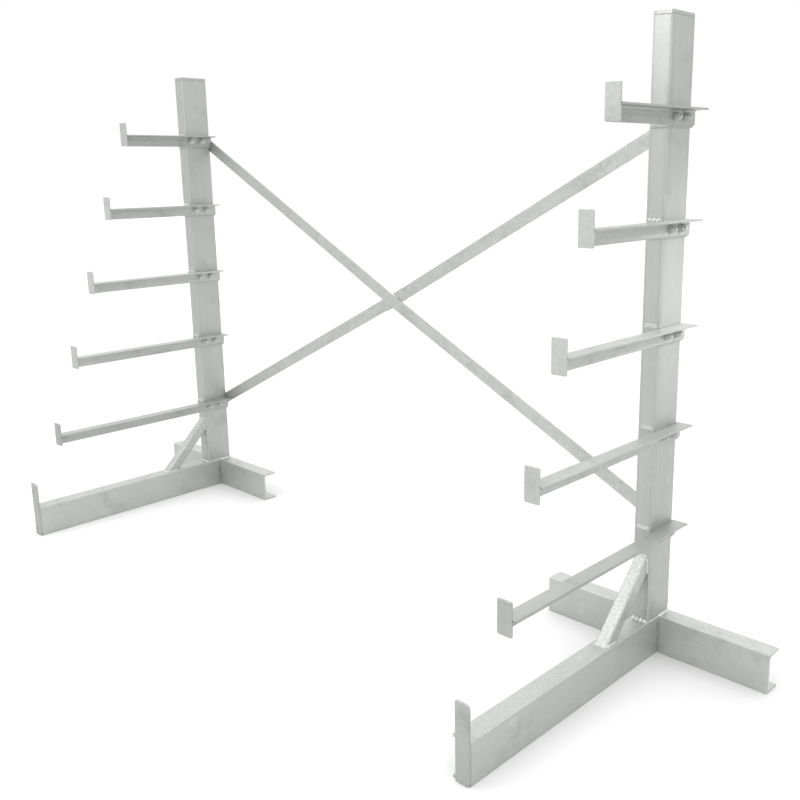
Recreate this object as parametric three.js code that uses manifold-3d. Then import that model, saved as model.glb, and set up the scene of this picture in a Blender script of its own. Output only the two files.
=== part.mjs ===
// Single-sided cantilever rack: two uprights with graded arms, tied by a flat-bar cross brace.
// Millimetres, +Z up. X runs along the rack, the arms reach towards -Y,
// and the origin is the centre of the rack's box, on the floor.

import * as THREE from 'three';
import { mergeVertices } from 'three/addons/utils/BufferGeometryUtils.js';
import Module from 'manifold-3d';

const wasm = await Module();
wasm.setup();

// ---------------------------------------------------------------- driving dimensions

const GAP = 0.3; // clearance left between pieces that touch

// rack
const UPRIGHT_SPACING = 2350; // between the column centres
const RACK_HEIGHT = 1850;
const ARM_PITCH = 295;
const TOP_ARM_LEVEL = 1605; // top face of the highest arm
const BOTTOM_ARM_DROP = 10; // the lowest arm hangs this much below the regular pitch
const ARM_COUNT = 5;
const SHORTEST_ARM = 300; // free length in front of the column
const ARM_STEP = 100; // each arm is this much longer than the one above

// column: rectangular hollow section, standing on the base with its narrow side to the front
const COLUMN_WIDTH = 60;
const COLUMN_DEPTH = 120;
const COLUMN_WALL = 4;
const COLUMN_CORNER = 8;
const CAP_THICKNESS = 10;

// base: rolled channels on edge, a front leg and a cross beam behind it
const CHANNEL_HEIGHT = 120;
const CHANNEL_FLANGE = 60;
const CHANNEL_WEB = 6;
const CHANNEL_FLANGE_THICKNESS = 8;
const CHANNEL_ROOT = 9;
const CHANNEL_TOE = 4;
const CHANNEL_HEEL = 2.5;
const CHANNEL_EDGE = 1;
const LEG_LENGTH = 800; // in front of the column
const CROSS_BEAM_LENGTH = 760;
const CROSS_BEAM_FRONT = COLUMN_DEPTH - CHANNEL_FLANGE;

// end stops: flat bar across the front of every arm and of the leg
const STOP_WIDTH = 45;
const STOP_THICKNESS = 6;
const STOP_RISE = 47; // above the arm
const STOP_CORNER = 4;
const STOP_EDGE = 0.8;
const STOP_OFFSET = 5; // an arm's stop stands this much proud of it on the column side
const STOP_WELD = 0.05; // the arm runs this far into its stop
const LEG_STOP_HEIGHT = 220;
const LEG_STOP_THICKNESS = 8;
const LEG_STOP_CORNER = 12;
const PLATE_EDGE = 1; // on the leg's stop and the column's cap

// knee brace: square hollow section at 45 degrees between the leg and the column
const KNEE_SIZE = 40;
const KNEE_WALL = 3;
const KNEE_CORNER = 5;
const KNEE_REACH = 210; // along the leg, measured to the brace's front face

// arms: equal rolled angle, and the cleats that carry them
const ANGLE_LEG = 45;
const ANGLE_THICKNESS = 5;
const ANGLE_ROOT = 6;
const ANGLE_TOE = 2.5;
const ANGLE_HEEL = 1;
const ANGLE_EDGE = 0.5;
const CLEAT_THICKNESS = 5;
const CLEAT_HEIGHT = 50;
const CLEAT_FRONT_LEG = 52; // over the front of the column, from its side face
const CLEAT_EDGE = 1;

// bolts, their heads inside the column and their nuts outside
const ARM_BOLT = {
  radius: 6,
  holeRadius: 6.5,
  acrossFlats: 19,
  headHeight: 7.5,
  nutHeight: 10.4,
  washerRadius: 12,
  washerThickness: 2.5,
  tail: 5, // thread standing past the nut
};
const BRACE_BOLT = {
  radius: 5,
  holeRadius: 5.5,
  acrossFlats: 17,
  headHeight: 6.4,
  nutHeight: 8.4,
  washerRadius: 10,
  washerThickness: 2,
  tail: 4,
};
const BOLT_DROP = 23; // below the top of the arm
const BOLT_SETBACKS = [18, 71]; // from the front of the column
const OVERLAP = 1; // of a drill or a shank past the face it must reach

// cross brace: flat bar on the back of the columns
const BRACE_WIDTH = 45;
const BRACE_THICKNESS = 5;
const BRACE_HIGH_END = 1580; // centre of the bar on its column
const BRACE_LOW_END = 398;
const BRACE_CROSSING = 973; // the bars bend slightly where they cross
const BRACE_END_MARGIN = 20; // bar past its bolt
const BRACE_LAP = 57; // each half of the spliced bar runs this far past the crossing
const CROSSING_CLEARANCE = 0.6; // between the layers where the bars cross

const CORNER_SEGMENTS = 4; // in each rounding of an outline
const ROUND = 16; // segments around a bolt or a hole

// ---------------------------------------------------------------- solids and booleans

function toSolid(geometry) {
  const bare = geometry.index ? geometry.toNonIndexed() : geometry.clone();
  bare.deleteAttribute('normal');
  bare.deleteAttribute('uv');
  const merged = mergeVertices(bare, 1e-4);
  const vertProperties = new Float32Array(merged.attributes.position.array);
  const triVerts = new Uint32Array(merged.index.array);
  return new wasm.Manifold(new wasm.Mesh({ numProp: 3, vertProperties, triVerts }));
}

function toGeometry(solid) {
  const mesh = solid.getMesh();
  const geometry = new THREE.BufferGeometry();
  geometry.setAttribute('position', new THREE.BufferAttribute(mesh.vertProperties, 3));
  geometry.setIndex(new THREE.BufferAttribute(mesh.triVerts, 1));
  return geometry;
}

function cut(geometry, ...tools) {
  return toGeometry(tools.reduce((solid, tool) => solid.subtract(toSolid(tool)), toSolid(geometry)));
}

function join(geometry, ...others) {
  return toGeometry(others.reduce((solid, other) => solid.add(toSolid(other)), toSolid(geometry)));
}

// ---------------------------------------------------------------- outlines

// A closed outline through corner points, each [x, y, radius], rounded where the radius isn't 0.
function roundedOutline(corners, PathType = THREE.Shape) {
  const outline = new PathType();
  corners.forEach(([x, y, radius], i) => {
    const corner = new THREE.Vector2(x, y);
    const before = new THREE.Vector2(...corners[(i + corners.length - 1) % corners.length]);
    const after = new THREE.Vector2(...corners[(i + 1) % corners.length]);
    const start = before.sub(corner).setLength(radius).add(corner);
    const end = after.sub(corner).setLength(radius).add(corner);
    if (i === 0) outline.moveTo(start.x, start.y);
    else outline.lineTo(start.x, start.y);
    if (radius > 0) addCornerArc(outline, corner, start, end, radius);
  });
  outline.closePath();
  return outline;
}

// The arc of a square corner, from start to end, tangent to both sides.
function addCornerArc(outline, corner, start, end, radius) {
  const centre = start.clone().add(end).sub(corner);
  const from = start.sub(centre).angle();
  const to = end.clone().sub(centre).angle();
  const turn = Math.sin(to - from);
  outline.absarc(centre.x, centre.y, radius, from, to, turn < 0);
}

function rectangle(left, bottom, right, top, radius, PathType) {
  const corners = [[left, bottom], [right, bottom], [right, top], [left, top]];
  return roundedOutline(corners.map(([x, y]) => [x, y, radius]), PathType);
}

function hollowSection(width, depth, wall, corner) {
  const outline = rectangle(-width / 2, -depth / 2, width / 2, depth / 2, corner);
  const bore = rectangle(
    wall - width / 2, wall - depth / 2, width / 2 - wall, depth / 2 - wall, corner - wall, THREE.Path);
  outline.holes.push(bore);
  return outline;
}

// Channel with its web along x = 0 and its flanges towards -X, standing on y = 0.
function channelSection() {
  const flangeTop = CHANNEL_HEIGHT - CHANNEL_FLANGE_THICKNESS;
  return roundedOutline([
    [0, 0, CHANNEL_HEEL],
    [0, CHANNEL_HEIGHT, CHANNEL_HEEL],
    [-CHANNEL_FLANGE, CHANNEL_HEIGHT, CHANNEL_EDGE],
    [-CHANNEL_FLANGE, flangeTop, CHANNEL_TOE],
    [-CHANNEL_WEB, flangeTop, CHANNEL_ROOT],
    [-CHANNEL_WEB, CHANNEL_FLANGE_THICKNESS, CHANNEL_ROOT],
    [-CHANNEL_FLANGE, CHANNEL_FLANGE_THICKNESS, CHANNEL_TOE],
    [-CHANNEL_FLANGE, 0, CHANNEL_EDGE],
  ]);
}

// Angle with its heel at the origin, one leg along +X on top and the other hanging down.
function angleSection() {
  return roundedOutline([
    [0, 0, ANGLE_HEEL],
    [0, -ANGLE_LEG, ANGLE_EDGE],
    [ANGLE_THICKNESS, -ANGLE_LEG, ANGLE_TOE],
    [ANGLE_THICKNESS, -ANGLE_THICKNESS, ANGLE_ROOT],
    [ANGLE_LEG, -ANGLE_THICKNESS, ANGLE_TOE],
    [ANGLE_LEG, 0, ANGLE_EDGE],
  ]);
}

// ---------------------------------------------------------------- extrusions

function extrude(outline, depth, edge = 0) {
  return new THREE.ExtrudeGeometry(outline, {
    depth: depth - 2 * edge,
    curveSegments: CORNER_SEGMENTS,
    bevelEnabled: edge > 0,
    bevelThickness: edge,
    bevelSize: edge,
    bevelOffset: -edge,
    bevelSegments: 1,
  }).translate(0, 0, edge);
}

// The outline's (x, y) become (X, Z), and the length runs from y = rear towards the front.
function extrudeToFront(outline, rear, length, edge) {
  return extrude(outline, length, edge).rotateX(Math.PI / 2).translate(0, rear, 0);
}

// The outline's (x, y) become (Y, Z), and the length runs along +X, centred on x = 0.
function extrudeAlongX(outline, length) {
  const turn = new THREE.Matrix4().makeBasis(
    new THREE.Vector3(0, 1, 0), new THREE.Vector3(0, 0, 1), new THREE.Vector3(1, 0, 0));
  return extrude(outline, length).applyMatrix4(turn).translate(-length / 2, 0, 0);
}

function cylinderAlongX(radius, from, to) {
  return new THREE.CylinderGeometry(radius, radius, to - from, ROUND)
    .rotateZ(Math.PI / 2)
    .translate((from + to) / 2, 0, 0);
}

// ---------------------------------------------------------------- one upright
// Upright frame: x = 0 on the column's centre line, y = 0 on its front face, z = 0 on the floor.

const columnSide = COLUMN_WIDTH / 2;
const cleatInside = columnSide + GAP;
const armInside = cleatInside + CLEAT_THICKNESS + GAP;
const armOutside = armInside + ANGLE_THICKNESS;

function armLevel(index) {
  const drop = index === ARM_COUNT - 1 ? BOTTOM_ARM_DROP : 0;
  return TOP_ARM_LEVEL - index * ARM_PITCH - drop;
}

function armLength(index) {
  return SHORTEST_ARM + index * ARM_STEP;
}

// Drills for an arm's two bolts, from inside the column out past the arm.
function armBoltDrills(index) {
  return BOLT_SETBACKS.map((setback) =>
    cylinderAlongX(ARM_BOLT.holeRadius, 0, armOutside + OVERLAP)
      .translate(0, setback, armLevel(index) - BOLT_DROP));
}

// A drill through what lies within half a column's depth of the column's back face.
function braceBoltDrill(level) {
  const radius = BRACE_BOLT.holeRadius;
  return new THREE.CylinderGeometry(radius, radius, COLUMN_DEPTH, ROUND).translate(0, 0, level);
}

function column() {
  const bottom = CHANNEL_HEIGHT + GAP;
  const top = RACK_HEIGHT - CAP_THICKNESS - GAP;
  const tube = extrude(hollowSection(COLUMN_WIDTH, COLUMN_DEPTH, COLUMN_WALL, COLUMN_CORNER), top - bottom)
    .translate(0, COLUMN_DEPTH / 2, bottom);
  const armDrills = Array.from({ length: ARM_COUNT }, (_, index) => armBoltDrills(index)).flat();
  const braceDrills = [BRACE_HIGH_END, BRACE_LOW_END].map((level) =>
    braceBoltDrill(level).translate(0, COLUMN_DEPTH, 0));
  return cut(tube, ...armDrills, ...braceDrills);
}

function columnCap() {
  const outline = rectangle(-columnSide, 0, columnSide, COLUMN_DEPTH, COLUMN_CORNER);
  return extrude(outline, CAP_THICKNESS, PLATE_EDGE).translate(0, 0, RACK_HEIGHT - CAP_THICKNESS);
}

function frontLeg() {
  const length = LEG_LENGTH + CROSS_BEAM_FRONT - GAP;
  return extrudeToFront(channelSection(), CROSS_BEAM_FRONT - GAP, length).translate(columnSide, 0, 0);
}

// The web faces the front, and the flanges point backwards under the column.
function crossBeam() {
  return extrudeAlongX(channelSection(), CROSS_BEAM_LENGTH)
    .rotateZ(Math.PI)
    .translate(0, CROSS_BEAM_FRONT, 0);
}

function legStop() {
  const outline = roundedOutline([
    [columnSide - STOP_WIDTH, 0, STOP_CORNER],
    [columnSide, 0, LEG_STOP_CORNER],
    [columnSide, LEG_STOP_HEIGHT, LEG_STOP_CORNER],
    [columnSide - STOP_WIDTH, LEG_STOP_HEIGHT, STOP_CORNER],
  ]);
  return extrudeToFront(outline, -LEG_LENGTH - GAP, LEG_STOP_THICKNESS, PLATE_EDGE);
}

// A square tube laid at 45 degrees, cut level on the leg and plumb on the column.
function kneeBrace() {
  const spare = 2 * KNEE_REACH;
  const halfSlant = (KNEE_SIZE / 2) * Math.SQRT2;
  const tube = extrude(hollowSection(KNEE_SIZE, KNEE_SIZE, KNEE_WALL, KNEE_CORNER), spare * 2)
    .translate(0, 0, -spare)
    .rotateX(-Math.PI / 4)
    .translate(0, -KNEE_REACH + halfSlant, CHANNEL_HEIGHT);
  const behindColumn = new THREE.BoxGeometry(spare, spare, spare * 4).translate(0, spare / 2 - GAP, 0);
  const belowLeg = new THREE.BoxGeometry(spare, spare * 4, spare)
    .translate(0, 0, CHANNEL_HEIGHT + GAP - spare / 2);
  return cut(tube, behindColumn, belowLeg);
}

// A bent strap around the column's front corner, which carries the arm off the column's side.
function cleat(index) {
  const inner = COLUMN_CORNER;
  const outline = roundedOutline([
    [cleatInside - CLEAT_FRONT_LEG, -GAP, 0],
    [cleatInside - CLEAT_FRONT_LEG, -GAP - CLEAT_THICKNESS, CLEAT_EDGE],
    [cleatInside + CLEAT_THICKNESS, -GAP - CLEAT_THICKNESS, inner + CLEAT_THICKNESS],
    [cleatInside + CLEAT_THICKNESS, COLUMN_DEPTH, CLEAT_EDGE],
    [cleatInside, COLUMN_DEPTH, 0],
    [cleatInside, -GAP, inner],
  ]);
  const strap = extrude(outline, CLEAT_HEIGHT).translate(0, 0, armLevel(index) - CLEAT_HEIGHT);
  return cut(strap, ...armBoltDrills(index));
}

// An angle from the back of the column to its end stop, with the stop welded across the front.
function arm(index) {
  const level = armLevel(index);
  const angle = extrudeToFront(angleSection(), COLUMN_DEPTH, COLUMN_DEPTH + armLength(index))
    .translate(armInside, 0, level);
  const left = armInside - STOP_OFFSET;
  const stopOutline = rectangle(left, level - ANGLE_LEG, left + STOP_WIDTH, level + STOP_RISE, STOP_CORNER);
  const stop = extrudeToFront(stopOutline, STOP_WELD - armLength(index), STOP_THICKNESS, STOP_EDGE);
  return cut(join(angle, stop), ...armBoltDrills(index));
}

// Hexagon prism along X, with two of its flats level.
function hexAlongX(acrossFlats, from, to) {
  const radius = acrossFlats / Math.sqrt(3);
  return new THREE.CylinderGeometry(radius, radius, to - from, 6)
    .rotateZ(Math.PI / 2)
    .translate((from + to) / 2, 0, 0);
}

// Bolt along X, with its head behind x = headSeat and its washer and nut beyond x = nutSeat.
function boltAlongX(size, headSeat, nutSeat) {
  const nutFrom = nutSeat + size.washerThickness;
  const nutTo = nutFrom + size.nutHeight;
  const shank = cylinderAlongX(size.radius, headSeat - OVERLAP, nutTo + size.tail);
  const head = hexAlongX(size.acrossFlats, headSeat - size.headHeight, headSeat);
  const washer = cylinderAlongX(size.washerRadius, nutSeat, nutFrom);
  const nut = hexAlongX(size.acrossFlats, nutFrom, nutTo);
  return join(shank, head, washer, nut);
}

function armBolt(index, setback) {
  return boltAlongX(ARM_BOLT, columnSide - COLUMN_WALL - GAP, armOutside + GAP)
    .translate(0, setback, armLevel(index) - BOLT_DROP);
}

// ---------------------------------------------------------------- cross brace
// Brace frame: x = 0 midway between the columns, y = 0 on their back faces, z = 0 on the floor.

const braceRun = UPRIGHT_SPACING / 2;
const crossing = new THREE.Vector2(0, BRACE_CROSSING);

function braceEnd(side, level) {
  return new THREE.Vector2(side * braceRun, level);
}

// The point that lies a distance beyond `to` on the line that comes from `from`.
function beyond(from, to, distance) {
  return to.clone().sub(from).setLength(distance).add(to);
}

// Outline of a bar along a line of points, mitred where it bends and square at its ends.
function barOutline(points) {
  const edge = (offset) => points.map((point, i) => {
    const before = points[i - 1] ?? point;
    const after = points[i + 1] ?? point;
    const along = after.clone().sub(before).setLength(offset);
    return new THREE.Vector2(point.x - along.y, point.y + along.x);
  });
  return new THREE.Shape([...edge(-BRACE_WIDTH / 2), ...edge(BRACE_WIDTH / 2).reverse()]);
}

// Flat bar along a line of points in the X-Z plane, with its front face on y = 0.
function flatBar(points) {
  return extrudeToFront(barOutline(points), BRACE_THICKNESS, BRACE_THICKNESS);
}

// One bar from high on the left column to low on the right one.
function fallingBar() {
  const high = braceEnd(-1, BRACE_HIGH_END);
  const low = braceEnd(1, BRACE_LOW_END);
  const bar = flatBar([
    beyond(crossing, high, BRACE_END_MARGIN),
    crossing,
    beyond(crossing, low, BRACE_END_MARGIN),
  ]).translate(0, GAP, 0);
  const drills = [high, low].map((end) => braceBoltDrill(end.y).translate(end.x, 0, 0));
  return cut(bar, ...drills);
}

// Half of the rising bar: side is -1 for the lower left half and 1 for the upper right half.
// It starts against its column and leans back to clear what it crosses in the middle.
function risingHalf(side, depthAtCrossing) {
  const end = braceEnd(side, side < 0 ? BRACE_LOW_END : BRACE_HIGH_END);
  const line = [beyond(end, crossing, BRACE_LAP), beyond(crossing, end, BRACE_END_MARGIN)];
  const slope = -side * depthAtCrossing / (braceRun + columnSide);
  const lean = new THREE.Matrix4().makeShear(slope, 0, 0, 0, 0, 0);
  const bar = flatBar(line).applyMatrix4(lean).translate(0, depthAtCrossing + GAP, 0);
  return cut(bar, braceBoltDrill(end.y).translate(end.x, 0, 0));
}

function braceBolt(side, level) {
  return boltAlongX(BRACE_BOLT, -COLUMN_WALL - GAP, BRACE_THICKNESS + 3 * GAP)
    .rotateZ(Math.PI / 2)
    .translate(side * braceRun, 0, level);
}

// ---------------------------------------------------------------- finish and assembly

function galvanised(shade, roughness) {
  return new THREE.MeshStandardMaterial({ color: shade, roughness, metalness: 0.75 });
}

const finishes = {
  frame: () => galvanised(0xc3c6c2, 0.5),
  plate: () => galvanised(0xb9bcb8, 0.55),
  brace: () => galvanised(0xbec1bd, 0.5),
  bolt: () => galvanised(0x8e918e, 0.45),
};

function piece(name, geometry, finish) {
  const mesh = new THREE.Mesh(geometry, finishes[finish]());
  mesh.name = name;
  return mesh;
}

function upright(side) {
  const group = new THREE.Group();
  group.add(
    piece(`column_${side}`, column(), 'frame'),
    piece(`column_cap_${side}`, columnCap(), 'frame'),
    piece(`front_leg_${side}`, frontLeg(), 'frame'),
    piece(`cross_beam_${side}`, crossBeam(), 'frame'),
    piece(`leg_stop_${side}`, legStop(), 'plate'),
    piece(`knee_brace_${side}`, kneeBrace(), 'frame'),
  );
  for (let index = 0; index < ARM_COUNT; index += 1) {
    const number = index + 1;
    group.add(piece(`arm_${side}_${number}`, arm(index), 'frame'));
    group.add(piece(`arm_cleat_${side}_${number}`, cleat(index), 'plate'));
    BOLT_SETBACKS.forEach((setback, place) => {
      const end = place === 0 ? 'front' : 'rear';
      group.add(piece(`arm_bolt_${side}_${number}_${end}`, armBolt(index, setback), 'bolt'));
    });
  }
  return group;
}

function crossBrace() {
  const group = new THREE.Group();
  const layer = BRACE_THICKNESS + CROSSING_CLEARANCE;
  group.add(
    piece('brace_bar_falling', fallingBar(), 'brace'),
    piece('brace_bar_rising_lower', risingHalf(-1, layer), 'brace'),
    piece('brace_bar_rising_upper', risingHalf(1, 2 * layer + CROSSING_CLEARANCE), 'brace'),
    piece('brace_bolt_left_top', braceBolt(-1, BRACE_HIGH_END), 'bolt'),
    piece('brace_bolt_left_bottom', braceBolt(-1, BRACE_LOW_END), 'bolt'),
    piece('brace_bolt_right_top', braceBolt(1, BRACE_HIGH_END), 'bolt'),
    piece('brace_bolt_right_bottom', braceBolt(1, BRACE_LOW_END), 'bolt'),
  );
  return group;
}

const rack = new THREE.Group();

const left = upright('left');
left.position.x = -UPRIGHT_SPACING / 2;

const right = upright('right');
right.position.x = UPRIGHT_SPACING / 2;

const brace = crossBrace();
brace.position.y = COLUMN_DEPTH;

rack.add(left, right, brace);

// The origin goes to the middle of the rack's footprint, on the floor.
const centre = new THREE.Box3().setFromObject(rack).getCenter(new THREE.Vector3());
rack.position.set(-centre.x, -centre.y, 0);

export default rack;
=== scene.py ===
"""Cantilever rack, hot-dip galvanised, on a pale studio floor.

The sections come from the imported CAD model. This script gives them eased edges and zinc
finishes, and adds what they lack: fasteners with real threads, and weld beads.
Lengths are metres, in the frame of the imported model.
"""

import math
import random

import bpy
from mathutils import Matrix, Vector


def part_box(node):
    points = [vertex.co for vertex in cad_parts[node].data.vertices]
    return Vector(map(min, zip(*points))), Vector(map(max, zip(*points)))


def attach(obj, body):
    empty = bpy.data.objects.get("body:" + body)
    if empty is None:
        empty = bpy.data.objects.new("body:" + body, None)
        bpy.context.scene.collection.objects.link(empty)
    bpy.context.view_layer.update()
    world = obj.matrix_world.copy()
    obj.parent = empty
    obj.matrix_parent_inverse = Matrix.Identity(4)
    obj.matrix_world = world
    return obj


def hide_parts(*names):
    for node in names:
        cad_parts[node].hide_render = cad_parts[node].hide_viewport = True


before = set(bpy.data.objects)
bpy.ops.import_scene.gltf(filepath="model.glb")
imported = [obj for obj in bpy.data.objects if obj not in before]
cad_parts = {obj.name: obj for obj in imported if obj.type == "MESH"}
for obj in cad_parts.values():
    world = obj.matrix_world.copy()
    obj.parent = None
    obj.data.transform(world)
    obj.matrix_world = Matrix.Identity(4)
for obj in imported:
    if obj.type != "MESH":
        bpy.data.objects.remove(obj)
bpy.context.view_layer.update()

MM = 0.001
CORNER = 8 * MM  # radius of a column's corners
STOP_THICKNESS = 6 * MM  # of an arm's end stop
SIDES = ("left", "right")
ARM_NUMBERS = range(1, 6)  # from the top arm down

# ---------------------------------------------------------------- camera

CAMERA_PLACE = (2.49799, -1.92338, 1.45635)
CAMERA_YAW = 0.76066  # radians from the Y axis towards -X
CAMERA_PITCH = 0.22482  # radians below the horizon
CAMERA_ROLL = -0.01281
SENSOR_WIDTH = 36.0  # in millimetres, as the focal length is
LENS = 41.4884
LENS_SHIFT = (-0.04718, -0.02634)  # parts of the picture's width
CLIP_NEAR = 0.05
CLIP_FAR = 100.0


def add_camera():
    camera = bpy.data.cameras.new("camera")
    camera.sensor_width = SENSOR_WIDTH
    camera.lens = LENS
    camera.shift_x, camera.shift_y = LENS_SHIFT
    camera.clip_start = CLIP_NEAR
    camera.clip_end = CLIP_FAR
    placed = bpy.data.objects.new("camera", camera)
    turn = (
        Matrix.Rotation(CAMERA_YAW, 4, "Z")
        @ Matrix.Rotation(math.pi / 2 - CAMERA_PITCH, 4, "X")
        @ Matrix.Rotation(CAMERA_ROLL, 4, "Z")
    )
    placed.matrix_world = Matrix.Translation(CAMERA_PLACE) @ turn
    bpy.context.scene.collection.objects.link(placed)
    bpy.context.scene.camera = placed


# ---------------------------------------------------------------- meshes

SHARP_ANGLE = math.radians(38)


class Shell:
    """Vertices and faces of one piece, gathered as closed skins over rings of points."""

    def __init__(self):
        self.vertices = []
        self.faces = []

    def skin(self, rings, looped=False):
        """Faces from each ring to the next. The last joins the first, or both ends are capped."""
        first = len(self.vertices)
        around = len(rings[0])
        for ring in rings:
            self.vertices.extend(ring)
        spans = len(rings) if looped else len(rings) - 1
        for span in range(spans):
            here = first + span * around
            there = first + ((span + 1) % len(rings)) * around
            for i in range(around):
                after = (i + 1) % around
                self.faces.append((here + i, here + after, there + after, there + i))
        if not looped:
            self.cap(first, rings[0], reverse=True)
            self.cap(first + (len(rings) - 1) * around, rings[-1], reverse=False)

    def cap(self, first, ring, reverse):
        """A fan from the middle of a ring."""
        middle = len(self.vertices)
        self.vertices.append(sum(ring, Vector()) / len(ring))
        around = len(ring)
        for i in range(around):
            face = (middle, first + i, first + (i + 1) % around)
            self.faces.append(tuple(reversed(face)) if reverse else face)

    def piece(self, name, material, slot, replaces=()):
        """Makes the finished object, riding on the rack."""
        mesh = bpy.data.meshes.new(name)
        mesh.from_pydata(self.vertices, [], self.faces)
        mesh.validate()
        mesh.shade_smooth()
        mesh.set_sharp_from_angle(angle=SHARP_ANGLE)
        mesh.materials.append(material)
        made = bpy.data.objects.new(name, mesh)
        bpy.context.scene.collection.objects.link(made)
        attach(made, "root")
        if replaces:
            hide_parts(*replaces)


# ---------------------------------------------------------------- node graphs


class Graph:
    """One material's node tree, with short calls for the nodes used here."""

    def __init__(self, name, metallic, specular=0.5):
        self.material = bpy.data.materials.new(name)
        self.material.use_nodes = True
        self.tree = self.material.node_tree
        self.shader = self.tree.nodes["Principled BSDF"]
        self.shader.inputs["Metallic"].default_value = metallic
        self.shader.inputs["Specular IOR Level"].default_value = specular

    def add(self, kind, inputs, **settings):
        """A node. Each of its inputs is a value, or the socket that feeds it."""
        made = self.tree.nodes.new(kind)
        for key, value in settings.items():
            setattr(made, key, value)
        for key, value in inputs.items():
            if isinstance(value, bpy.types.NodeSocket):
                self.tree.links.new(value, made.inputs[key])
            else:
                made.inputs[key].default_value = value
        return made

    def place(self):
        """The point in the rack's own frame, in metres."""
        return self.add("ShaderNodeTexCoord", {}).outputs["Object"]

    def mapped(self, point, scale, turn=(0, 0, 0)):
        """The point turned by Euler angles, then stretched."""
        turned = self.add("ShaderNodeMapping", {"Vector": point, "Rotation": turn})
        stretched = self.add("ShaderNodeMapping", {"Vector": turned.outputs[0], "Scale": scale})
        return stretched.outputs[0]

    def axes(self, point):
        """The sockets named X, Y and Z of a point."""
        return self.add("ShaderNodeSeparateXYZ", {"Vector": point}).outputs

    def noise(self, point, scale, detail=2.0, distortion=0.0):
        """A smooth value from 0 to 1, a half on average, with features about 1/scale wide."""
        inputs = {"Vector": point, "Scale": scale, "Detail": detail, "Distortion": distortion}
        return self.add("ShaderNodeTexNoise", inputs).outputs["Fac"]

    def cells(self, point, scale):
        """A different value in each cell of crystals about 1/scale wide."""
        made = self.add("ShaderNodeTexVoronoi", {"Vector": point, "Scale": scale})
        parts = self.add("ShaderNodeSeparateColor", {"Color": made.outputs["Color"]})
        return parts.outputs[0]

    def ramp(self, value, low, high):
        """0 below low, 1 above high, smooth between."""
        inputs = {"Value": value, "From Min": low, "From Max": high}
        made = self.add("ShaderNodeMapRange", inputs, interpolation_type="SMOOTHSTEP")
        return made.outputs[0]

    def calculate(self, operation, *values):
        """The result of one sum."""
        return self.add("ShaderNodeMath", dict(enumerate(values)), operation=operation).outputs[0]

    def distance(self, value, from_value):
        """How far a value is from a number."""
        return self.calculate("ABSOLUTE", self.calculate("SUBTRACT", value, from_value))

    def weigh(self, start, *terms):
        """start plus each value times its weight."""
        total = start
        for value, weight in terms:
            total = self.calculate("MULTIPLY_ADD", value, weight, total)
        return total

    def colour(self, tint, tone):
        """Makes the base colour the tint times the tone."""
        inputs = {0: tint, "Scale": tone}
        made = self.add("ShaderNodeVectorMath", inputs, operation="SCALE")
        self.tree.links.new(made.outputs[0], self.shader.inputs["Base Color"])

    def roughness(self, value):
        self.tree.links.new(value, self.shader.inputs["Roughness"])

    def bump(self, height, distance, strength):
        inputs = {"Height": height, "Distance": distance, "Strength": strength}
        made = self.add("ShaderNodeBump", inputs)
        self.tree.links.new(made.outputs[0], self.shader.inputs["Normal"])


# ---------------------------------------------------------------- finishes

ZINC = (0.450, 0.463, 0.447)
COLUMN_ZINC = (0.420, 0.432, 0.417)
BEAM_ZINC = (0.475, 0.489, 0.472)
PLATE_ZINC = (0.388, 0.400, 0.385)
# A darker copy of the weld metal: painted shade, for the beads in corners and under things.
WELD_ZINC_PAINTED_SHADE = (0.380, 0.391, 0.378)
# The weld metal's pale colour is a painted highlight, standing in for the glints on the beads.
WELD_ZINC_PAINTED_HIGHLIGHT = (0.66, 0.68, 0.66)
BOLT_ZINC = {"left": (0.52, 0.535, 0.52), "right": (0.450, 0.463, 0.450)}
# Painted light: each arm level is painted lighter or darker by how the band of light falls, lightest on the
# middle arms, and each stop by the front light it faces.
ARM_PAINTED_LIGHT = (0.83, 0.94, 1.00, 0.95, 0.86)  # of ZINC, from the top arm down
STOP_PAINTED_LIGHT = (0.98, 1.06, 1.05, 0.98, 0.82)  # the same, for their end stops


class Mark:
    """One kind of mark on a surface, and how far it moves the tone, roughness and height.

    scale is per metre, one for all axes or one for each. A mark that comes in patches
    begins where its noise is at patch's first value, and is full at the second.
    """

    def __init__(self, scale, tone=0.0, roughness=0.0, height=0.0, patch=None):
        self.scale = scale
        self.tone = tone
        self.roughness = roughness
        self.height = height
        self.patch = patch


# The marks on the sections. Those with three scales lie along the section, as if it ran up Z.
CLOUDS = Mark(scale=5.0, tone=0.16)
DRAWN = Mark(scale=(130.0, 130.0, 1.2), roughness=0.08, height=0.5)
SCRATCHES = Mark(scale=(420.0, 420.0, 0.8))
RUNS = Mark(scale=(34.0, 34.0, 5.0), tone=0.12)
SPANGLE = Mark(scale=75.0, roughness=0.08)
FROST = Mark(scale=260.0, height=0.4)  # this height and the dimples' are parts of the speckle
DIMPLES = Mark(scale=210.0, height=5.0)
GRAIN = Mark(scale=1100.0)
DULL = Mark(scale=12.0, tone=-0.07, roughness=0.16, patch=(0.56, 0.70))
BRIGHT = Mark(scale=15.5, tone=0.08, roughness=-0.08, patch=(0.64, 0.74))
SCRATCH_SHARE = 0.8  # of how far the drawing marks move the tone

# The marks on the channels' decks, and the painted reflection along the columns' corners.
DECK_GRAIN = Mark(scale=420.0, tone=0.75)
DECK_FADE = (1.5 * MM, 0.5 * MM)  # under the upper face, where its speckles begin and are full
CORNER_REFLECTION_DEPTH = 0.20
CORNER_REFLECTION_HALF_WIDTH = 1.3 * MM  # half the width of the line where a tube's corner begins
CORNER_REFLECTION_CORE = 0.3 * CORNER_REFLECTION_HALF_WIDTH  # half the width at its full depth

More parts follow.
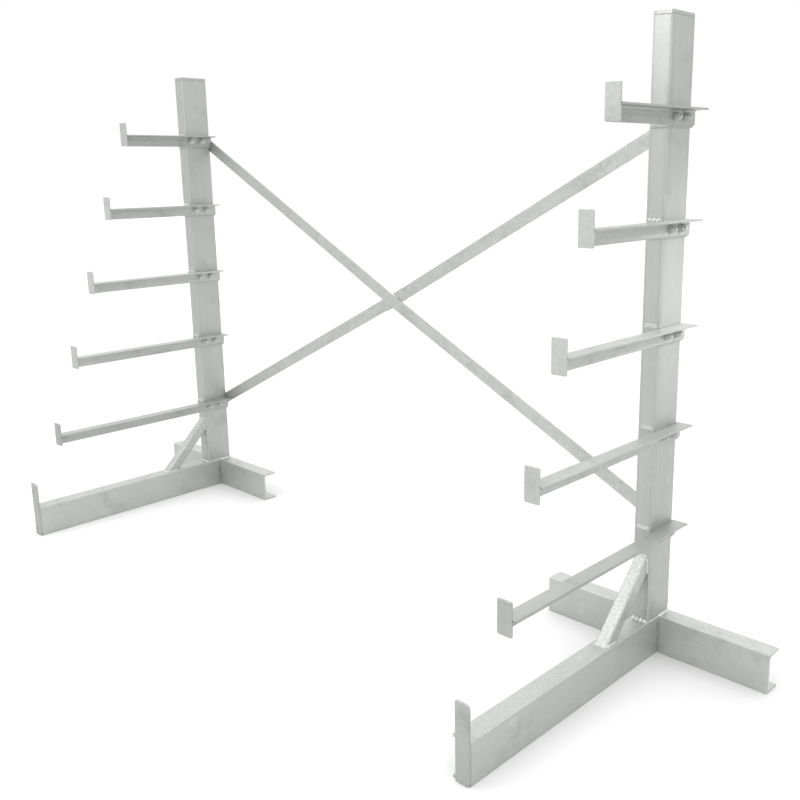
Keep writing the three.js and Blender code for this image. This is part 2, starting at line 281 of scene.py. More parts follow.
# The marks on the weld metal.
LUMPS = Mark(scale=260.0, tone=0.14, roughness=0.18, height=0.6)
WELD_GRAIN = Mark(scale=1500.0, tone=0.08, height=0.3)
SOOT = Mark(scale=90.0, tone=-0.28, roughness=0.15, patch=(0.58, 0.72))
WELD_TONE = 0.90
WELD_ROUGHNESS = 0.36

# The marks on the bolts.
STAINS = Mark(scale=180.0, tone=0.24, roughness=0.16, height=0.5)
WIPED = Mark(scale=320.0, tone=0.16, roughness=-0.06, patch=(0.55, 0.75))
BOLT_GRAIN = Mark(scale=2400.0, tone=0.12, height=0.4)
BOLT_TONE = 0.82
BOLT_ROUGHNESS = 0.58


def zinc_marks(graph, point, turn):
    """The value of each kind of mark on a section, by its name."""
    lengthwise = graph.mapped(point, DRAWN.scale, turn)
    scratched = graph.mapped(point, SCRATCHES.scale, turn)
    running = graph.mapped(point, RUNS.scale, turn)
    dull = graph.noise(point, DULL.scale, detail=5.0)
    bright = graph.noise(point, BRIGHT.scale, detail=3.0)
    return {
        "clouds": graph.noise(point, CLOUDS.scale, detail=4.0, distortion=0.6),
        "drawn": graph.noise(lengthwise, 1.0, detail=3.0),
        "scratches": graph.noise(scratched, 1.0, detail=2.0),
        "runs": graph.noise(running, 1.0, detail=2.0, distortion=0.8),
        "spangle": graph.cells(point, SPANGLE.scale),
        "frost": graph.cells(point, FROST.scale),
        "grain": graph.noise(point, GRAIN.scale, detail=1.0),
        "dimples": graph.noise(point, DIMPLES.scale, detail=2.0),
        "dull": graph.ramp(dull, *DULL.patch),
        "bright": graph.ramp(bright, *BRIGHT.patch),
    }


def galvanised(
    name, tint=ZINC, turn=(0, 0, 0), drawn=0.16, spangle=0.10, speckle=0.16, roughness=0.36, extra=None,
):
    """Hot-dip zinc. turn brings the length of the section onto Z, for its drawing marks.

    drawn, spangle and speckle say how far those marks move the tone. extra takes the graph
    and the point, and gives further (value, weight) terms of the tone.
    """
    graph = Graph(name, metallic=0.65)
    point = graph.place()
    marks = zinc_marks(graph, point, turn)
    even = [
        (marks["clouds"], CLOUDS.tone),
        (marks["drawn"], drawn),
        (marks["scratches"], SCRATCH_SHARE * drawn),
        (marks["runs"], RUNS.tone),
        (marks["spangle"], spangle),
        (marks["frost"], speckle),
        (marks["grain"], speckle),
    ]
    middle = 1.0 - sum(weight for _, weight in even) / 2
    patches = [(marks["bright"], BRIGHT.tone), (marks["dull"], DULL.tone)]
    more = extra(graph, point) if extra else []
    graph.colour(tint, graph.weigh(middle, *even, *patches, *more))
    rough = graph.weigh(
        roughness,
        (marks["spangle"], SPANGLE.roughness),
        (marks["dull"], DULL.roughness),
        (marks["drawn"], DRAWN.roughness),
        (marks["bright"], BRIGHT.roughness),
    )
    graph.roughness(rough)
    height = graph.weigh(
        0.0,
        (marks["grain"], speckle),
        (marks["dimples"], DIMPLES.height * speckle),
        (marks["frost"], FROST.height * speckle),
        (marks["drawn"], DRAWN.height),
    )
    graph.bump(height, distance=0.50 * MM, strength=0.7)
    return graph.material


def weld_zinc_with_painted_highlight():
    """Pale zinc over lumpy weld metal, with specks of soot. The paleness is a painted highlight, standing in
    for the glints on the beads.
    """
    graph = Graph("weld_zinc_with_painted_highlight", metallic=0.35)
    point = graph.place()
    lumps = graph.noise(point, LUMPS.scale, detail=3.0)
    grain = graph.noise(point, WELD_GRAIN.scale, detail=1.0)
    soot = graph.ramp(graph.noise(point, SOOT.scale, detail=4.0), *SOOT.patch)
    tone = graph.weigh(WELD_TONE, (lumps, LUMPS.tone), (grain, WELD_GRAIN.tone), (soot, SOOT.tone))
    graph.colour(WELD_ZINC_PAINTED_HIGHLIGHT, tone)
    graph.roughness(graph.weigh(WELD_ROUGHNESS, (lumps, LUMPS.roughness), (soot, SOOT.roughness)))
    height = graph.weigh(0.0, (lumps, LUMPS.height), (grain, WELD_GRAIN.height))
    graph.bump(height, distance=0.3 * MM, strength=0.6)
    return graph.material


def bolt_zinc(side):
    """The left upright's fasteners are nearly as pale as its arms."""
    graph = Graph(f"bolt_zinc_{side}", metallic=0.25)
    point = graph.place()
    stains = graph.noise(point, STAINS.scale, detail=4.0)
    wiped = graph.ramp(graph.noise(point, WIPED.scale, detail=2.0), *WIPED.patch)
    grain = graph.noise(point, BOLT_GRAIN.scale, detail=1.0)
    tone = graph.weigh(BOLT_TONE, (stains, STAINS.tone), (grain, BOLT_GRAIN.tone), (wiped, WIPED.tone))
    graph.colour(BOLT_ZINC[side], tone)
    graph.roughness(graph.weigh(BOLT_ROUGHNESS, (stains, STAINS.roughness), (wiped, WIPED.roughness)))
    height = graph.weigh(0.0, (stains, STAINS.height), (grain, BOLT_GRAIN.height))
    graph.bump(height, distance=0.12 * MM, strength=0.5)
    return graph.material


# ---------------------------------------------------------------- CAD sections

MERGE_DISTANCE = 0.01 * MM
EDGE_RADIUS = 0.7 * MM
SEAM_EDGE_RADIUS = 0.3 * MM  # where the cap sits on its column
EDGE_ANGLE = math.radians(40)
ALONG_X = (0, math.pi / 2, 0)  # Euler angles that bring the X axis, the Y axis or a knee onto Z
ALONG_Y = (math.pi / 2, 0, 0)
ALONG_KNEE = (math.pi / 4, 0, 0)
# A stop's painted light gives way to its arm's painted light over this length.
PAINTED_LIGHT_FADE = 1 * MM  # over which a stop's shade gives way to its arm's


def ease_edges(node, radius):
    """Rounds a CAD node's sharp edges with modifiers, which leave its own mesh as it is."""
    weld = node.modifiers.new("join_split_vertices", "WELD")
    weld.merge_threshold = MERGE_DISTANCE
    bevel = node.modifiers.new("eased_edges", "BEVEL")
    bevel.width = radius
    bevel.segments = 2
    bevel.limit_method = "ANGLE"
    bevel.angle_limit = EDGE_ANGLE
    bevel.harden_normals = False
    normals = node.modifiers.new("even_normals", "WEIGHTED_NORMAL")
    normals.keep_sharp = False
    normals.weight = 100  # the largest faces decide


def finish_node(name, material, radius=EDGE_RADIUS):
    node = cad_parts[name]
    node.data.materials.clear()
    node.data.materials.append(material)
    ease_edges(node, radius)


def brace_turn(direction):
    """Euler angles that bring the length of a bar falling (-1) or rising (1) to the right onto Z."""
    low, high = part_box("brace_bar_falling")
    slope = math.atan2(high.z - low.z, high.x - low.x)
    return (0, -math.pi / 2 + direction * slope, 0)


def arm_zinc_with_painted_light(number):
    """Each level of arm has its own shade, and so has its end stop. Both are painted light: the arms are
    lighter on the middle levels, where a band of light falls, and the stops, which face the front light, are
    mostly lighter than their arms.
    """
    low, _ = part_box(f"arm_left_{number}")
    painted_arm_light = ARM_PAINTED_LIGHT[number - 1]
    painted_stop_light = STOP_PAINTED_LIGHT[number - 1]
    stop_back = low.y + STOP_THICKNESS

    # The angle behind the stop takes its arm's painted light in place of the stop's.
    def painted_light_behind_stop(graph, point):
        painted_arm_mask = graph.ramp(graph.axes(point)["Y"], stop_back, stop_back + PAINTED_LIGHT_FADE)
        return [(painted_arm_mask, painted_arm_light / painted_stop_light - 1)]

    tint = tuple(channel * painted_stop_light for channel in ZINC)
    look = {"drawn": 0.20, "spangle": 0.06, "speckle": 0.10}
    return galvanised(f"zinc_arm_with_painted_light_{number}", tint=tint, turn=ALONG_Y, extra=painted_light_behind_stop, **look)


def column_zinc_with_painted_reflection():
    """Thin dark lines, a painted reflection, run up each tube where its flat faces meet its rounded corners.
    """
    low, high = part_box("column_right")
    centre = (low + high) / 2
    flats = (high - low) / 2 - Vector((CORNER, CORNER, 0))

    def painted_corner_reflections(graph, point):
        axes = graph.axes(point)
        from_middle = graph.distance(axes["X"], 0.0)  # the same for both uprights
        across = graph.distance(from_middle, centre.x)
        along = graph.distance(axes["Y"], centre.y)
        terms = []
        for value, flat in ((across, flats.x), (along, flats.y)):
            off_reflection = graph.ramp(graph.distance(value, flat), CORNER_REFLECTION_CORE, CORNER_REFLECTION_HALF_WIDTH)
            terms.append((off_reflection, CORNER_REFLECTION_DEPTH))
        return terms

    tint = tuple(channel / (1 + 2 * CORNER_REFLECTION_DEPTH) for channel in COLUMN_ZINC)
    return galvanised("zinc_column_with_painted_reflection", tint=tint, drawn=0.17, spangle=0.04, speckle=0.07, extra=painted_corner_reflections)


def deck_speckles(graph, point):
    """The channels' upward faces are speckled, and their webs smooth."""
    _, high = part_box("front_leg_right")
    begin, full = DECK_FADE
    deck = graph.ramp(graph.axes(point)["Z"], high.z - begin, high.z - full)
    grains = graph.noise(point, DECK_GRAIN.scale, detail=2.0)
    speckles = graph.calculate("MULTIPLY", deck, grains)
    return [(deck, -DECK_GRAIN.tone / 2), (speckles, DECK_GRAIN.tone)]


def finish_sections():
    """Gives every CAD section its zinc and its eased edges."""
    upright = column_zinc_with_painted_reflection()
    cap = galvanised("zinc_cap", tint=COLUMN_ZINC, drawn=0.06, spangle=0.08, speckle=0.10)
    knee = galvanised("zinc_knee", turn=ALONG_KNEE, drawn=0.10, speckle=0.32)
    channel = {"drawn": 0.08, "speckle": 0.07, "extra": deck_speckles}
    leg = galvanised("zinc_leg", turn=ALONG_Y, spangle=0.04, **channel)
    beam = galvanised("zinc_beam", tint=BEAM_ZINC, turn=ALONG_X, spangle=0.05, **channel)
    arms = {number: arm_zinc_with_painted_light(number) for number in ARM_NUMBERS}
    plate = galvanised("zinc_plate", tint=PLATE_ZINC, drawn=0.14, spangle=0.06, speckle=0.08, roughness=0.42)
    for side in SIDES:
        finish_node(f"column_{side}", upright, SEAM_EDGE_RADIUS)
        finish_node(f"column_cap_{side}", cap, SEAM_EDGE_RADIUS)
        finish_node(f"front_leg_{side}", leg)
        finish_node(f"cross_beam_{side}", beam)
        finish_node(f"leg_stop_{side}", plate)
        finish_node(f"knee_brace_{side}", knee)
        for number in ARM_NUMBERS:
            finish_node(f"arm_{side}_{number}", arms[number])
            finish_node(f"arm_cleat_{side}_{number}", plate)
    falling = galvanised("zinc_bar_falling", turn=brace_turn(-1), drawn=0.14)
    rising = galvanised("zinc_bar_rising", turn=brace_turn(1), drawn=0.14)
    finish_node("brace_bar_falling", falling)
    finish_node("brace_bar_rising_lower", rising)
    finish_node("brace_bar_rising_upper", rising)


# ---------------------------------------------------------------- fasteners
# Each is built along Z from the back of its head, and then laid along its bolt.

X_AXIS = 0
Y_AXIS = 1
HEX_SIDE = math.pi / 3  # the angle of one side of a hexagon
FACE_SHARE = 0.94  # of a hexagon's apothem, left flat inside its turned chamfer
CHAMFER_SLOPE = math.tan(math.radians(30))
WASHER_EDGE = 0.4 * MM
BORE_EDGE = 0.6 * MM
THREAD_DEPTH = 0.85 * MM
THREAD_STEP = 0.25 * MM
THREAD_SUNK = 1 * MM  # how far the thread begins inside the head
TIP_CHAMFER = 1.2 * MM
TIP_SLOPE = 0.8
HEX_AROUND = 48
THREAD_AROUND = 32


class BoltSize:
    """Dimensions of a bolt with its nut and washer, given in millimetres.

    thread is the thread's radius, and tail is how far it stands out of its nut.
    """

    def __init__(self, thread, pitch, across_flats, head, nut, washer_radius, washer, tail):
        self.thread = thread * MM
        self.pitch = pitch * MM
        self.apothem = across_flats / 2 * MM
        self.head = head * MM
        self.nut = nut * MM
        self.washer_radius = washer_radius * MM
        self.washer = washer * MM
        self.tail = tail * MM
        self.face = FACE_SHARE * self.apothem

    def hexagon(self, angle):
        """Distance from the middle of the hexagon to its side at this angle."""
        return self.apothem / math.cos((angle + HEX_SIDE / 2) % HEX_SIDE - HEX_SIDE / 2)

    def corner_drop(self, angle):
        """How far the turned chamfer takes the hexagon's corner down."""
        return max(0.0, self.hexagon(angle) - self.face) * CHAMFER_SLOPE


ARM_BOLT = BoltSize(
    thread=6, pitch=1.75, across_flats=19, head=7.5, nut=10.4, washer_radius=12, washer=2.5, tail=5)
BRACE_BOLT = BoltSize(
    thread=5, pitch=1.5, across_flats=17, head=6.4, nut=8.4, washer_radius=10, washer=2, tail=4)


def ring(radius, height, around):
    """A ring about Z. radius and height are numbers or functions of the angle."""
    points = []
    for i in range(around):
        angle = math.tau * i / around
        r = radius(angle) if callable(radius) else radius
        z = height(angle) if callable(height) else height
        points.append(Vector((r * math.cos(angle), r * math.sin(angle), z)))
    return points


def nut_rings(size, bottom):
    top = bottom + size.nut
    profile = [
        (size.thread, bottom + BORE_EDGE),
        (size.thread + BORE_EDGE, bottom),
        (size.face, bottom),
        (size.hexagon, lambda angle: bottom + size.corner_drop(angle)),
        (size.hexagon, lambda angle: top - size.corner_drop(angle)),
        (size.face, top),
        (size.thread + BORE_EDGE, top),
        (size.thread, top - BORE_EDGE),
    ]
    return [ring(radius, height, HEX_AROUND) for radius, height in profile]


def washer_rings(size, bottom):
    top = bottom + size.washer
    profile = [
        (size.thread + BORE_EDGE, bottom),
        (size.washer_radius - WASHER_EDGE, bottom),
        (size.washer_radius, bottom + WASHER_EDGE),
        (size.washer_radius, top - WASHER_EDGE),
        (size.washer_radius - WASHER_EDGE, top),
        (size.thread + BORE_EDGE, top),
    ]
    return [ring(radius, height, HEX_AROUND) for radius, height in profile]


def head_rings(size):
    profile = [
        (size.face, 0),
        (size.hexagon, size.corner_drop),
        (size.hexagon, size.head),
    ]
    return [ring(radius, height, HEX_AROUND) for radius, height in profile]


def thread_rings(size, bottom, top):
    """A screw thread whose ridge climbs one pitch each turn, with a chamfered tip."""
    rings = []
    count = round((top - bottom) / THREAD_STEP)
    for i in range(count + 1):
        height = bottom + i * (top - bottom) / count
        tip = max(0.0, height - (top - TIP_CHAMFER))

        def radius(angle, height=height, tip=tip):
            phase = (height / size.pitch - angle / math.tau) % 1.0
            return size.thread - THREAD_DEPTH * abs(2 * phase - 1) - TIP_SLOPE * tip

        rings.append(ring(radius, height, THREAD_AROUND))
    return rings


def fastener(node, size, axis, turn, material):
    """The bolt, washer and nut that stand for one CAD bolt lying along an axis."""
    low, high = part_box(node)
    length = high[axis] - low[axis]
    nut_seat = length - size.tail - size.nut
    if axis == X_AXIS:
        lay = Matrix.Rotation(math.pi / 2, 4, "Y")
    else:
        lay = Matrix.Rotation(-math.pi / 2, 4, "X")
    centre = (low + high) / 2
    centre[axis] = low[axis]
    place = Matrix.Translation(centre) @ lay @ Matrix.Rotation(turn, 4, "Z")
    shell = Shell()
    parts = [
        (head_rings(size), False),
        (thread_rings(size, size.head - THREAD_SUNK, length), False),
        (washer_rings(size, nut_seat - size.washer), True),
        (nut_rings(size, nut_seat), True),
    ]
    for rings, looped in parts:
        shell.skin([[place @ point for point in points] for points in rings], looped)
    shell.piece(f"fastener_{node}", material, "zinc_bolt", replaces=[node])


def add_fasteners(draw):
    for side in SIDES:
        material = bolt_zinc(side)
        for number in ARM_NUMBERS:
            for end in ("front", "rear"):
                turn = draw.uniform(0, HEX_SIDE)
                fastener(f"arm_bolt_{side}_{number}_{end}", ARM_BOLT, X_AXIS, turn, material)
        for level in ("top", "bottom"):
            turn = draw.uniform(0, HEX_SIDE)
            fastener(f"brace_bolt_{side}_{level}", BRACE_BOLT, Y_AXIS, turn, material)


# ---------------------------------------------------------------- welds

BEAD_STEP = 0.7 * MM
BEAD_AROUND = 14
FINE_RIPPLE = (2.6 * MM, 0.14)  # pitch, and depth as a part of the radius
COARSE_RIPPLE = (7.0 * MM, 0.36)
BLOB_RIPPLE = (13.0 * MM, 0.50)
RIPPLE_BOW = 0.6  # of a pitch, by which the middle of each ripple runs ahead of its edges
RIPPLE_RISE = 1.5  # of its depth, from the valley between two ripples to their top
SWELL_LENGTH = 6.5 * MM
SWELL = 0.24
FEWEST_STEPS = 8
END_REACH = 1.4  # of the radius, over which a bead's end rounds off
END_WIDTH = 0.12  # of the radius, left at the very end


class Bead:
    """Weld beads of one joint: rippled tubes sunk into the corner they fill."""

    def __init__(self, draw):
        self.draw = draw
        self.shell = Shell()

    def run(self, start, end, out, radius, ripple=FINE_RIPPLE):
        """A bead from start to end. out points from the corner into the open."""
        start = Vector(start)
        end = Vector(end)
        along = (end - start).normalized()
        out = Vector(out)
        out = (out - out.dot(along) * along).normalized()
        across = along.cross(out)
        length = (end - start).length
        count = max(FEWEST_STEPS, round(length / BEAD_STEP))
        phase = self.draw.uniform(0, ripple[0])
        swells = [self.draw.uniform(-1, 1) for _ in range(int(length / SWELL_LENGTH) + 3)]
        rings = []
        for i in range(count + 1):
            travelled = length * i / count
            width = radius * bead_taper(travelled, length, radius) * bead_swell(travelled, swells)
            centre = start + along * travelled
            rings.append([
                centre + across * (width * size * math.sin(angle)) + out * (width * size * math.cos(angle))
                for angle, size in ripple_sizes(travelled + phase, *ripple)
            ])
        self.shell.skin(rings)

    def piece(self, name, material):
        self.shell.piece(name, material, "galvanised_plate")


def bead_taper(travelled, length, radius):
    """Rounds off both ends of a bead."""
    reach = END_REACH * radius
    near = max(0.0, min(travelled, length - travelled, reach)) / reach
    return max(END_WIDTH, math.sqrt(near * (2 - near)))


def bead_swell(travelled, swells):
    """A slow change of width along a bead."""
    place = travelled / SWELL_LENGTH
    index = int(place)
    part = place - index
    eased = part * part * (3 - 2 * part)
    return 1 + SWELL * (swells[index] * (1 - eased) + swells[index + 1] * eased)


def ripple_sizes(travelled, pitch, depth):
    """Angle and relative radius of each point around one ring of a bead."""
    for i in range(BEAD_AROUND):
        angle = math.tau * i / BEAD_AROUND
        ripple = abs(math.sin(math.pi * (travelled / pitch - RIPPLE_BOW * math.cos(angle))))
        yield angle, 1 - depth + depth * RIPPLE_RISE * ripple


# Sizes of the sections that the beads follow.
STOP_WIDTH = 45 * MM
ARM_STOP_RISE = 47 * MM  # above the arm
ANGLE_LEG = 45 * MM
ANGLE_THICKNESS = 5 * MM
ARM_HEEL_INSET = 5 * MM  # from the stop's left edge to the arm's heel
KNEE_FOOTPRINT = 40 * math.sqrt(2) * MM
BRACE_HALF_WIDTH = 22.5 * MM
DIRECTION_STEPS = 6  # enough for the rising bar's angle to settle

# Each joint's beads by their radius, and by how far they stop short of an edge.
CAP_BEAD = 1.3 * MM
CAP_SEAM_RISE = 0.7 * MM
LUMPY_CLEAT = 2
CLEAT_LUMPS = 5.2 * MM
CLEAT_BEAD = 2.8 * MM
CLEAT_SECOND_BEAD = 1.6 * MM
CLEAT_SECOND_RISE = (5.8, 6.8)  # millimetres above the first bead
CLEAT_SECOND_INSET = (0, 6)  # millimetres
CLEAT_UNDER_BEAD = 1.8 * MM
CLEAT_SIDE_INSET = 4 * MM
KNEE_END_BEAD = 4.4 * MM
KNEE_END_INSET = 1 * MM
KNEE_INNER_BEAD = 3.0 * MM
KNEE_SIDE_BEAD = 2.8 * MM
KNEE_INSET = 4 * MM
FOOT_FRONT_BEAD = 8.0 * MM
FOOT_FRONT_INSET = 3 * MM
FOOT_BEAD = 2.0 * MM
FOOT_SEAM_SUNK = 0.8 * MM
FOOT_REAR_BEAD = 3.8 * MM
WEB_BEAD = 12.0 * MM  # broad and shallow, as its middle lies inside the corner
WEB_BEAD_SUNK = 4.0 * MM
WEB_INSET = 5 * MM
LEG_STOP_BEAD = 3.2 * MM
LEG_STOP_SEAM = 1.8 * MM
LEG_STOP_SEAM_START = 14 * MM
LEG_STOP_INSET = 4 * MM
ARM_STOP_BEAD = 2.8 * MM
ARM_STOP_SIDE_BEAD = 2.4 * MM
ARM_STOP_BOTTOM_GAP = 4 * MM
ARM_STOP_INNER_GAP = 9 * MM
LAP_BEAD = 2.6 * MM
LAP_INSET = 4 * MM
CROSSING_BEAD = 1.8 * MM
CROSSING_REACH = 20 * MM
SMALL_GAP = 1 * MM  # these two are shared by several joints
MIDDLE_GAP = 3 * MM


def weld_cap(side, draw, dull):
    """The thin seam under the column's cap, in the darker copy of the weld metal: painted shade."""
    low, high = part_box(f"column_{side}")
    level = high.z + CAP_SEAM_RISE
    beads = Bead(draw)
    for y, out in ((low.y, -1), (high.y, 1)):
        beads.run((low.x + CORNER, y, level), (high.x - CORNER, y, level), (0, out, 0), CAP_BEAD)
    for x, out in ((low.x, -1), (high.x, 1)):
        beads.run((x, low.y + CORNER, level), (x, high.y - CORNER, level), (out, 0, 0), CAP_BEAD)
    beads.piece(f"weld_cap_{side}", dull)


def weld_cleats(side, draw, material, dull):
    """Along the top, bottom and free end of each cleat. The second arm's is in heavy lumps."""
    column_low, column_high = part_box(f"column_{side}")
    beads = Bead(draw)
    under = Bead(draw)
    front = column_low.y
    for number in ARM_NUMBERS:
        low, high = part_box(f"arm_cleat_{side}_{number}")
        left = low.x
        right = column_high.x - CORNER
        above = ((left, front, high.z), (right, front, high.z), (0, -1, 1))
        if number == LUMPY_CLEAT:
            beads.run(*above, CLEAT_LUMPS, BLOB_RIPPLE)
        else:
            second = high.z + draw.uniform(*CLEAT_SECOND_RISE) * MM
            inset = draw.uniform(*CLEAT_SECOND_INSET) * MM
            start = (left + inset, front, second)
            end = (right - inset, front, second)
            beads.run(*above, CLEAT_BEAD, COARSE_RIPPLE)
            beads.run(start, end, (0, -1, 0.3), CLEAT_SECOND_BEAD)
        bottom = low.z + CLEAT_SIDE_INSET
        top = high.z - CLEAT_SIDE_INSET
        under.run((left, front, low.z), (right, front, low.z), (0, -1, -1), CLEAT_UNDER_BEAD)
        under.run((left, front, bottom), (left, front, top), (-1, -1, 0), CLEAT_UNDER_BEAD)
    beads.piece(f"weld_cleats_{side}", material)
    # The beads along the bottom and the free end of each cleat are painted shade: they take the darker copy
    # of the weld metal.
    under.piece(f"weld_cleats_under_{side}", dull)


def weld_knee(side, draw, material):
    """Around both ends of the knee brace, on the column and on the leg."""
    column_low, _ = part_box(f"column_{side}")
    _, leg_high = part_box(f"front_leg_{side}")
    low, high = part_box(f"knee_brace_{side}")
    beads = Bead(draw)
    face = column_low.y
    top = high.z
    under = top - KNEE_FOOTPRINT
    deck = leg_high.z
    toe = low.y
    heel = toe + KNEE_FOOTPRINT
    left = low.x + KNEE_END_INSET
    right = high.x - KNEE_END_INSET
    inner_left = low.x + KNEE_INSET
    inner_right = high.x - KNEE_INSET
    beads.run((left, face, top), (right, face, top), (0, -1, 1), KNEE_END_BEAD, COARSE_RIPPLE)
    beads.run((inner_left, face, under), (inner_right, face, under), (0, -1, -1), KNEE_INNER_BEAD)
    beads.run((left, toe, deck), (right, toe, deck), (0, -1, 1), KNEE_END_BEAD, COARSE_RIPPLE)
    beads.run((inner_left, heel, deck), (inner_right, heel, deck), (0, 1, 1), KNEE_INNER_BEAD)
    for x, out in ((low.x, -1), (high.x, 1)):
        upright = ((x, face, under + KNEE_INSET), (x, face, top - KNEE_INSET))
        flat = ((x, toe + KNEE_INSET, deck), (x, heel - KNEE_INSET, deck))
        beads.run(*upright, (out, -1, 0), KNEE_SIDE_BEAD)
        beads.run(*flat, (out, 0, 1), KNEE_SIDE_BEAD)
    beads.piece(f"weld_knee_{side}", material)


def weld_foot(side, draw, material, dull):
    """The column on its base, and the leg against the cross beam."""
    low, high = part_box(f"column_{side}")
    beam_low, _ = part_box(f"cross_beam_{side}")
    _, leg_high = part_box(f"front_leg_{side}")
    beads = Bead(draw)
    deck = leg_high.z
    left = low.x + FOOT_FRONT_INSET
    right = high.x - FOOT_FRONT_INSET
    beads.run((left, low.y, deck), (right, low.y, deck), (0, -1, 1), FOOT_FRONT_BEAD, BLOB_RIPPLE)
    rear = ((low.x + CORNER, high.y, deck), (high.x - CORNER, high.y, deck))
    beads.run(*rear, (0, 1, 0.3), FOOT_BEAD)
    for x, out in ((low.x, -1), (high.x, 1)):
        seam = x - out * FOOT_SEAM_SUNK
        on_leg = ((seam, low.y + CORNER, deck), (seam, beam_low.y - MIDDLE_GAP, deck))
        on_beam = ((x, beam_low.y, deck), (x, high.y - CORNER, deck))
        beads.run(*on_leg, (out, 0, 0.4), FOOT_BEAD)
        beads.run(*on_beam, (out, 0, 1), FOOT_REAR_BEAD, BLOB_RIPPLE)
    beads.piece(f"weld_foot_{side}", material)
    web = Bead(draw)
    corner = (high.x - WEB_BEAD_SUNK, beam_low.y + WEB_BEAD_SUNK)
    web.run((*corner, WEB_INSET), (*corner, deck - WEB_INSET), (1, -1, 0), WEB_BEAD)
    # The bead in the corner between the webs is painted shade: it takes the darker copy of the weld metal.
    web.piece(f"weld_web_{side}", dull)


def weld_leg_stop(side, draw, material, dull):
    """The leg's front end on its stop: the deck's bead, and a thin seam up the web."""
    low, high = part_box(f"leg_stop_{side}")
    _, leg_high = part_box(f"front_leg_{side}")
    back = high.y
    deck = leg_high.z
    beads = Bead(draw)
    left = low.x + MIDDLE_GAP
    right = high.x - LEG_STOP_INSET
    beads.run((left, back, deck), (right, back, deck), (0, 1, 1), LEG_STOP_BEAD)
    beads.piece(f"weld_leg_stop_{side}", material)
    edge = high.x - SMALL_GAP
    start = (edge, back, LEG_STOP_SEAM_START)
    end = (edge, back, deck - LEG_STOP_INSET)
    seam = Bead(draw)
    seam.run(start, end, (1, 0.3, 0), LEG_STOP_SEAM)
    # The seam in the corner up the web is painted shade: it takes the darker copy of the weld metal.
    seam.piece(f"weld_leg_stop_seam_{side}", dull)


def weld_arm_stops(side, draw, material):
    """Each arm's angle on its stop: over the flange, and up both sides of the upright leg."""
    beads = Bead(draw)
    for number in ARM_NUMBERS:
        low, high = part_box(f"arm_{side}_{number}")
        level = high.z - ARM_STOP_RISE
        back = low.y + STOP_THICKNESS
        heel = low.x + ARM_HEEL_INSET
        inner = heel + ANGLE_THICKNESS
        right = low.x + STOP_WIDTH - SMALL_GAP
        under = level - ANGLE_LEG + ARM_STOP_BOTTOM_GAP
        beads.run((heel, back, level), (right, back, level), (0, 1, 1), ARM_STOP_BEAD)
        for x, out, gap in ((heel, -1, MIDDLE_GAP), (inner, 1, ARM_STOP_INNER_GAP)):
            beads.run((x, back, under), (x, back, level - gap), (out, 1, 0), ARM_STOP_SIDE_BEAD)
    beads.piece(f"weld_arm_stops_{side}", material)


def brace_direction():
    """Unit vector up the rising bar, from its bottom bolt to its square end."""
    low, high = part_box("brace_bolt_left_bottom")
    bolt = (low + high) / 2
    _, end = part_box("brace_bar_rising_lower")
    angle = 0.0
    for _ in range(DIRECTION_STEPS):
        rise = end.z - bolt.z - BRACE_HALF_WIDTH * math.cos(angle)
        run = end.x - bolt.x - BRACE_HALF_WIDTH * math.sin(angle)
        angle = math.atan2(rise, run)
    return Vector((math.cos(angle), 0, math.sin(angle)))


def weld_brace_lap(draw, material):
    """The spliced bar's square ends, and where the falling bar crosses it."""
    along = brace_direction()
    across = Vector((-along.z, 0, along.x))
    _, lower_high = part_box("brace_bar_rising_lower")
    upper_low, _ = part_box("brace_bar_rising_upper")
    _, falling_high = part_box("brace_bar_falling")
    half = across * (BRACE_HALF_WIDTH - LAP_INSET)
    inset = Vector((along.z, 0, along.x)) * BRACE_HALF_WIDTH  # from a box's corner to the end's middle
    end = lower_high - inset
    start = upper_low + inset
    start.y = end.y
    beads = Bead(draw)
    beads.run(end - half, end + half, along + Vector((0, -1, 0)), LAP_BEAD)
    beads.run(start - half, start + half, -along + Vector((0, 1, 0)), LAP_BEAD)
    crossing = (end + start) / 2
    crossing.y = falling_high.y
    reach = Vector((along.x, 0, -along.z)) * CROSSING_REACH
    upward = Vector((along.z, 0, along.x))
    for out in (1, -1):
        middle = crossing + upward * (out * BRACE_HALF_WIDTH)
        beads.run(middle - reach, middle + reach, upward * out + Vector((0, -1, 0)), CROSSING_BEAD)
    beads.piece("weld_brace_lap", material)


def add_welds(draw):
    # material is the weld metal painted pale, a painted highlight for its glints; dull is its darker copy,
    # painted shade for the beads in corners and under things.
    material = weld_zinc_with_painted_highlight()
    dull = galvanised("zinc_weld_painted_shade", tint=WELD_ZINC_PAINTED_SHADE, drawn=0.02, spangle=0.06, roughness=0.55)
    for side in SIDES:
        weld_cap(side, draw, dull)
        weld_cleats(side, draw, material, dull)
        weld_knee(side, draw, material)
        weld_foot(side, draw, material, dull)
        weld_leg_stop(side, draw, material, dull)
        weld_arm_stops(side, draw, material)
    weld_brace_lap(draw, material)


# ---------------------------------------------------------------- studio

FLOOR_REACH = 40.0
FLOOR_SHADE = 0.72
HORIZON_TOP = 0.25  # the dome brightens from here up, as the sine of the elevation
HORIZON_LIGHT = 1.0
ZENITH_LIGHT = 2.1
FLOOR_CLOUDS = Mark(scale=1.5, tone=0.03)
FLOOR_GRAIN = Mark(scale=60.0, roughness=0.1)
FLOOR_TONE = 0.985
FLOOR_ROUGHNESS = 0.8


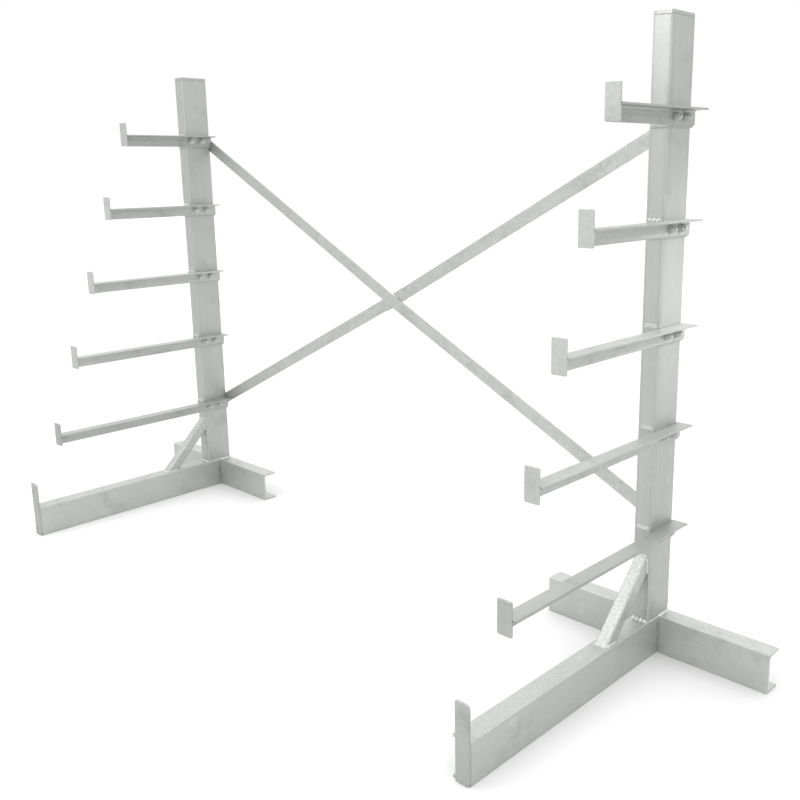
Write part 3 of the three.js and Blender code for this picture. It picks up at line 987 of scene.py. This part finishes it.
def floor_paint():
    """Matt and pale, and hardly clouded."""
    graph = Graph("studio_floor", metallic=0.0, specular=0.2)
    point = graph.place()
    clouds = graph.noise(point, FLOOR_CLOUDS.scale, detail=3.0)
    grain = graph.noise(point, FLOOR_GRAIN.scale)
    graph.colour((FLOOR_SHADE,) * 3, graph.weigh(FLOOR_TONE, (clouds, FLOOR_CLOUDS.tone)))
    graph.roughness(graph.weigh(FLOOR_ROUGHNESS, (grain, FLOOR_GRAIN.roughness)))
    return graph.material


def add_floor():
    mesh = bpy.data.meshes.new("floor")
    reach = FLOOR_REACH
    corners = [(-reach, -reach, 0), (reach, -reach, 0), (reach, reach, 0), (-reach, reach, 0)]
    mesh.from_pydata(corners, [], [(0, 1, 2, 3)])
    mesh.materials.append(floor_paint())
    floor = bpy.data.objects.new("floor", mesh)
    bpy.context.scene.collection.objects.link(floor)


def add_panel(name, place, target, size, power, spread=180):
    """A soft rectangular light that faces a point. A grid narrows its spread, in degrees."""
    light = bpy.data.lights.new(name, "AREA")
    light.shape = "RECTANGLE"
    light.size, light.size_y = size
    light.energy = power
    light.spread = math.radians(spread)
    placed = bpy.data.objects.new(name, light)
    aim = Vector(target) - Vector(place)
    placed.matrix_world = Matrix.Translation(place) @ aim.to_track_quat("-Z", "Y").to_matrix().to_4x4()
    bpy.context.scene.collection.objects.link(placed)


def add_sky():
    """A white dome all round, brighter towards its top."""
    world = bpy.data.worlds.new("studio")
    world.use_nodes = True
    tree = world.node_tree
    background = tree.nodes["Background"]
    direction = tree.nodes.new("ShaderNodeTexCoord").outputs["Generated"]
    split = tree.nodes.new("ShaderNodeSeparateXYZ")
    climb = tree.nodes.new("ShaderNodeMapRange")
    climb.inputs["From Min"].default_value = HORIZON_TOP
    climb.inputs["To Min"].default_value = HORIZON_LIGHT
    climb.inputs["To Max"].default_value = ZENITH_LIGHT
    tree.links.new(direction, split.inputs[0])
    tree.links.new(split.outputs["Z"], climb.inputs["Value"])
    tree.links.new(climb.outputs[0], background.inputs["Strength"])
    background.inputs["Color"].default_value = (1.0, 1.0, 1.0, 1.0)
    bpy.context.scene.world = world


def add_panels():
    """A wide front light and a low fill. Two narrow ones brighten the right column in a band."""
    narrow = (0.15, 0.15)
    add_panel("side", place=(3.2, 1.5, 2.6), target=(1.2, 0.4, 1.08), size=narrow, power=0.54, spread=15)
    add_panel("front", place=(-0.7, -2.0, 3.0), target=(1.2, 0.2, 1.35), size=(1.7, 1.5), power=16)
    add_panel("top", place=(0.4, -2.6, 3.2), target=(1.2, 0.3, 1.95), size=(0.3, 0.3), power=0.33, spread=16)
    add_panel("fill", place=(3.6, -3.4, 0.6), target=(0.2, -0.2, 0.2), size=(3.5, 1.2), power=13)


def add_studio():
    bpy.context.scene.view_settings.view_transform = "Standard"
    add_sky()
    add_floor()
    add_panels()


# ---------------------------------------------------------------- making

FASTENER_SEED = 7
WELD_SEED = 11

add_camera()
add_studio()
finish_sections()
add_fasteners(random.Random(FASTENER_SEED))
add_welds(random.Random(WELD_SEED))
